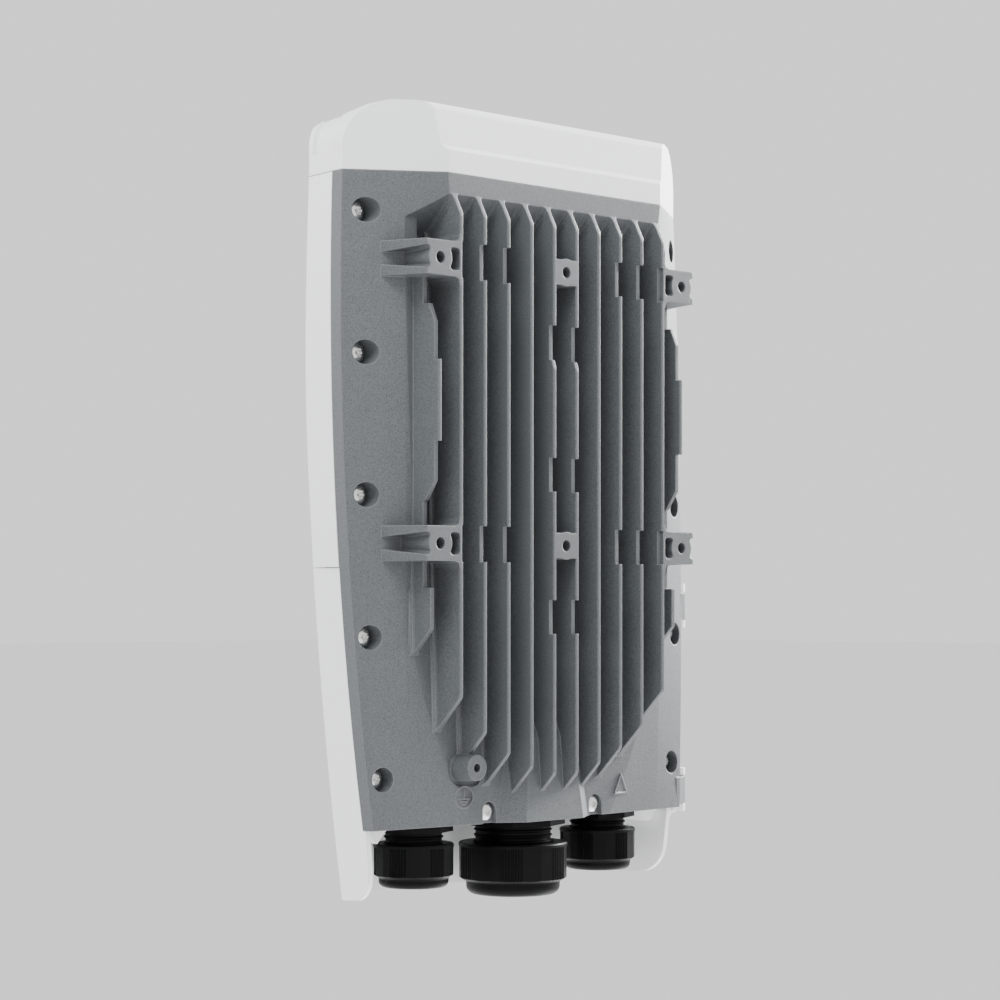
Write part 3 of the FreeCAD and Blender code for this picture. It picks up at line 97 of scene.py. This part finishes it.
class Nodes:
    """A material and short ways to add nodes to it."""

    def __init__(self, name):
        self.material = bpy.data.materials.new(name)
        self.material.use_nodes = True
        self.tree = self.material.node_tree
        self.shader = self.tree.nodes["Principled BSDF"]
        self.place = self.add("ShaderNodeTexCoord").outputs["Object"]

    def add(self, kind, **values):
        node = self.tree.nodes.new(kind)
        for name, value in values.items():
            setattr(node, name, value)
        return node

    def link(self, output, target):
        self.tree.links.new(output, target)

    def noise(self, scale, detail=3.0, rough=0.5, stretch=None):
        node = self.add("ShaderNodeTexNoise")
        node.inputs["Scale"].default_value = scale
        node.inputs["Detail"].default_value = detail
        node.inputs["Roughness"].default_value = rough
        source = self.place
        if stretch:
            mapping = self.add("ShaderNodeMapping")
            mapping.inputs["Scale"].default_value = stretch
            self.link(self.place, mapping.inputs["Vector"])
            source = mapping.outputs["Vector"]
        self.link(source, node.inputs["Vector"])
        return node.outputs["Fac"]

    def ramp(self, fac, *stops):
        """Colours or greys along a value: stops are (position, colour)."""
        node = self.add("ShaderNodeValToRGB")
        elements = node.color_ramp.elements
        while len(elements) < len(stops):
            elements.new(0.5)
        for element, (position, colour) in zip(elements, stops):
            if not isinstance(colour, tuple):
                colour = (colour, colour, colour)
            element.position, element.color = position, (*colour, 1)
        self.link(fac, node.inputs["Fac"])
        return node.outputs["Color"]

    def maths(self, operation, first, second):
        node = self.add("ShaderNodeMath", operation=operation)
        for socket, value in zip(node.inputs, (first, second)):
            if isinstance(value, (int, float)):
                socket.default_value = value
            else:
                self.link(value, socket)
        return node.outputs["Value"]

    def mix(self, fac, first, second):
        node = self.add("ShaderNodeMix", data_type="RGBA")
        for name, value in (("Factor", fac), ("A", first), ("B", second)):
            socket = node.inputs[name]
            if isinstance(value, tuple):
                socket.default_value = (*value, 1)
            elif isinstance(value, (int, float)):
                socket.default_value = value
            else:
                self.link(value, socket)
        return node.outputs["Result"]

    def set(self, **values):
        for name, value in values.items():
            socket = self.shader.inputs[name.replace("_", " ")]
            if isinstance(value, (int, float)):
                socket.default_value = value
            elif isinstance(value, tuple):
                socket.default_value = (*value, 1)
            else:
                self.link(value, socket)

    def surface(self, height, strength=0.3, distance=0.0002, edge=0.0004):
        """Rounded edges, with a bump on top."""
        bevel = self.add("ShaderNodeBevel", samples=4)
        bevel.inputs["Radius"].default_value = edge
        bump = self.add("ShaderNodeBump")
        bump.inputs["Strength"].default_value = strength
        bump.inputs["Distance"].default_value = distance
        self.link(height, bump.inputs["Height"])
        self.link(bevel.outputs["Normal"], bump.inputs["Normal"])
        self.link(bump.outputs["Normal"], self.shader.inputs["Normal"])

    def edge_highlight_mask(self, edge=0.0009):
        """Grey value that is high along edges: the mask for a painted edge highlight."""
        bevel = self.add("ShaderNodeBevel", samples=4)
        bevel.inputs["Radius"].default_value = edge
        geometry = self.add("ShaderNodeNewGeometry")
        dot = self.add("ShaderNodeVectorMath", operation="DOT_PRODUCT")
        self.link(bevel.outputs["Normal"], dot.inputs[0])
        self.link(geometry.outputs["True Normal"], dot.inputs[1])
        return self.maths("SUBTRACT", 1.0, dot.outputs["Value"])


POWDER_DARK = (0.066, 0.073, 0.077)
POWDER_LIGHT = (0.128, 0.137, 0.142)
# pale grey painted along the casting's edges as a painted highlight, where rounded edges would catch the
# light
PAINTED_EDGE_HIGHLIGHT = (0.30, 0.31, 0.315)
EDGE_HIGHLIGHT_STRENGTH = 0.6
COVER_DARK = (0.92, 0.925, 0.93)
COVER_LIGHT = (0.95, 0.953, 0.957)


def casting_material():
    """Grey powder coat over a die casting, with a sandy grain and a painted highlight along its edges."""
    m = Nodes("casting")
    grain = m.noise(1700.0, 3.0, 0.65)
    cloud = m.noise(45.0, 4.0, 0.6)
    flecks = m.ramp(grain, (0.36, POWDER_DARK), (0.64, POWDER_LIGHT))
    tone = m.ramp(cloud, (0.3, 0.94), (0.7, 1.0))
    shade = m.add("ShaderNodeMix", data_type="RGBA", blend_type="MULTIPLY")
    shade.inputs["Factor"].default_value = 1.0
    m.link(flecks, shade.inputs["A"])
    m.link(tone, shade.inputs["B"])
    # painted highlight: the colour turns paler along edges, standing in for light caught by rounded edges
    edges = m.ramp(m.edge_highlight_mask(), (0.02, 0.0), (0.25, 1.0))
    m.set(Base_Color=m.mix(m.maths("MULTIPLY", edges, EDGE_HIGHLIGHT_STRENGTH), shade.outputs["Result"], PAINTED_EDGE_HIGHLIGHT))
    m.set(Metallic=0.05, Roughness=m.ramp(grain, (0.3, 0.42), (0.7, 0.62)))
    m.surface(grain, 0.5, 0.0003, 0.0009)
    return m.material


def cover_material():
    """White moulded cover with a very fine satin texture."""
    m = Nodes("cover")
    fine = m.noise(3200.0, 2.0)
    soft = m.noise(18.0, 3.0)
    m.set(Base_Color=m.ramp(soft, (0.3, COVER_DARK), (0.7, COVER_LIGHT)),
          Roughness=m.ramp(fine, (0.3, 0.36), (0.7, 0.46)))
    m.surface(fine, 0.08, 0.00008, 0.0006)
    return m.material


def plastic_material(name, dark, light, rough=0.45, scale=1500.0, bump=0.15, shine=0.5):
    m = Nodes(name)
    fine = m.noise(scale, 2.0)
    soft = m.noise(60.0, 3.0)
    m.set(Base_Color=m.ramp(soft, (0.3, dark), (0.7, light)),
          Roughness=m.ramp(fine, (0.3, rough - 0.06), (0.7, rough + 0.08)))
    m.shader.inputs["Specular IOR Level"].default_value = shine
    m.surface(fine, bump, 0.0001, 0.0003)
    return m.material


def metal_material(name, dark, light, rough=0.3, brush=(1.0, 1.0, 40.0)):
    m = Nodes(name)
    streak = m.noise(400.0, 4.0, 0.6, brush)
    m.set(Base_Color=m.ramp(streak, (0.3, dark), (0.7, light)), Metallic=1.0,
          Roughness=m.ramp(streak, (0.3, rough - 0.08), (0.7, rough + 0.1)))
    m.surface(streak, 0.1, 0.00005, 0.0002)
    return m.material


def rubber_material(name, dark, light):
    m = Nodes(name)
    fine = m.noise(1200.0, 4.0, 0.7)
    m.set(Base_Color=m.ramp(fine, (0.35, dark), (0.65, light)),
          Roughness=m.ramp(fine, (0.3, 0.7), (0.7, 0.85)))
    m.surface(fine, 0.2, 0.0001, 0.0003)
    return m.material


def board_material():
    """Solder mask with a faint pattern of copper underneath."""
    m = Nodes("board")
    cells = m.add("ShaderNodeTexVoronoi", feature="DISTANCE_TO_EDGE", distance="MANHATTAN")
    cells.inputs["Scale"].default_value = 260.0
    m.link(m.place, cells.inputs["Vector"])
    tracks = m.ramp(cells.outputs["Distance"], (0.03, (0.03, 0.19, 0.08)), (0.1, (0.02, 0.12, 0.05)))
    m.set(Base_Color=tracks, Roughness=m.ramp(cells.outputs["Distance"], (0.02, 0.28), (0.2, 0.38)))
    m.surface(cells.outputs["Distance"], 0.1, 0.00005, 0.0001)
    return m.material


def glass_material():
    m = Nodes("light_guide")
    fine = m.noise(700.0, 2.0)
    m.set(Base_Color=m.ramp(fine, (0.3, (0.9, 0.95, 0.97)), (0.7, (0.95, 0.98, 1.0))),
          Roughness=m.ramp(fine, (0.3, 0.12), (0.7, 0.2)))
    m.shader.inputs["Transmission Weight"].default_value = 0.9
    return m.material


def make_materials():
    plastic, metal, rubber = plastic_material, metal_material, rubber_material
    steel_dark, steel_light = (0.7, 0.7, 0.69), (0.88, 0.88, 0.87)
    return {
        "casting": casting_material(), "cover": cover_material(), "board": board_material(),
        "light_guide": glass_material(),
        "rail": plastic("rail", (0.6, 0.61, 0.61), (0.68, 0.69, 0.69)),
        "gland": plastic("gland", (0.002, 0.002, 0.0024), (0.004, 0.004, 0.0044), 0.42, 900.0, 0.2, 0.1),
        "latch": plastic("latch", (0.4, 0.41, 0.42), (0.46, 0.47, 0.48), 0.4),
        "module": plastic("module", (0.02, 0.02, 0.02), (0.035, 0.035, 0.035), 0.5),
        "relay": plastic("relay", (0.02, 0.02, 0.025), (0.03, 0.03, 0.035), 0.25),
        "film": plastic("film", (0.6, 0.5, 0.08), (0.68, 0.58, 0.12), 0.3),
        "surge": plastic("surge", (0.03, 0.08, 0.35), (0.05, 0.11, 0.42), 0.25),
        "fuse": plastic("fuse", (0.75, 0.72, 0.66), (0.85, 0.83, 0.78), 0.3),
        "terminal": plastic("terminal", (0.06, 0.2, 0.1), (0.09, 0.26, 0.13), 0.4),
        "ferrite": plastic("ferrite", (0.03, 0.03, 0.032), (0.06, 0.06, 0.062), 0.6, 700.0, 0.3),
        "screw": metal("screw", steel_dark, steel_light, 0.26),
        "pin": metal("pin", steel_dark, steel_light, 0.3),
        "latch_metal": metal("latch_metal", steel_dark, steel_light, 0.34),
        "lid": metal("lid", (0.62, 0.63, 0.64), (0.74, 0.75, 0.76), 0.36, (40.0, 1.0, 1.0)),
        "post": metal("post", (0.6, 0.42, 0.16), (0.75, 0.56, 0.26), 0.3),
        "capacitor": metal("capacitor", (0.12, 0.13, 0.2), (0.2, 0.21, 0.3), 0.4),
        "copper": metal("copper", (0.5, 0.2, 0.08), (0.68, 0.3, 0.14), 0.35, (1.0, 1.0, 60.0)),
        "seal": rubber("seal", (0.012, 0.012, 0.013), (0.03, 0.03, 0.032)),
        "gasket": rubber("gasket", (0.02, 0.02, 0.022), (0.05, 0.05, 0.052)),
        "pad": rubber("pad", (0.3, 0.34, 0.42), (0.4, 0.44, 0.52)),
    }


def dress_nodes():
    looks = make_materials()
    for name, piece in nodes.items():
        piece.data.materials.clear()
        piece.data.materials.append(looks[SLOT_OF[name]])


add_camera()
add_floor()
light_scene()
dress_nodes()
